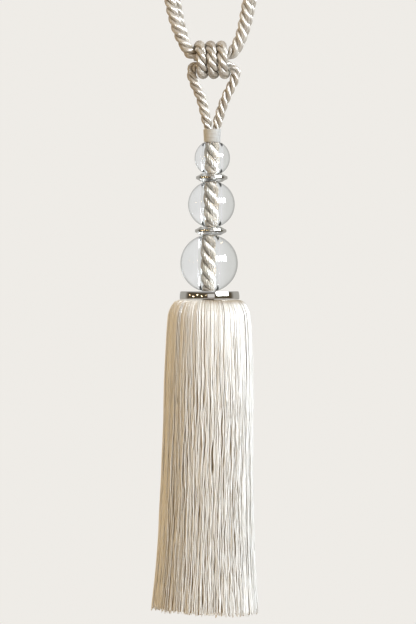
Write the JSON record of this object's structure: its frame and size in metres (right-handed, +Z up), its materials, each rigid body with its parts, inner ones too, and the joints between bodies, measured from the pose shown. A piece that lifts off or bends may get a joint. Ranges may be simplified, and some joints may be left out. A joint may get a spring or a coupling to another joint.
{
  "type": "curtain tieback tassel",
  "caption": "Twisted rope loop for tying back a curtain, with a wound knot, clear beads, bright discs and a long yarn tassel skirt.",
  "frame": {"origin": "under the top of the rope loop, on the surface of a hook or peg that holds it", "axes": "+Z up, the front faces -Y, +X to the right as seen from the front"},
  "size_m": [0.0623, 0.0608, 0.4944],
  "materials": {
    "rope": "silky twisted rayon",
    "sleeve_thread": "wound thread",
    "clear_glass": "clear, polished",
    "bright_metal": "mirror bright",
    "skirt_yarn": "silky fine yarn"
  },
  "bodies": {
    "root": {"embrace_cord_front": "rope", "embrace_cord_back": "rope", "tassel_cord": "rope", "binding_cord": "rope", "core_cord": "rope", "sleeve": "sleeve_thread", "bead_small": "clear_glass", "bead_medium": "clear_glass", "bead_large": "clear_glass", "disc_upper": "bright_metal", "disc_lower": "bright_metal", "cap_disc": "bright_metal", "skirt": "skirt_yarn"}
  },
  "joints": []
}
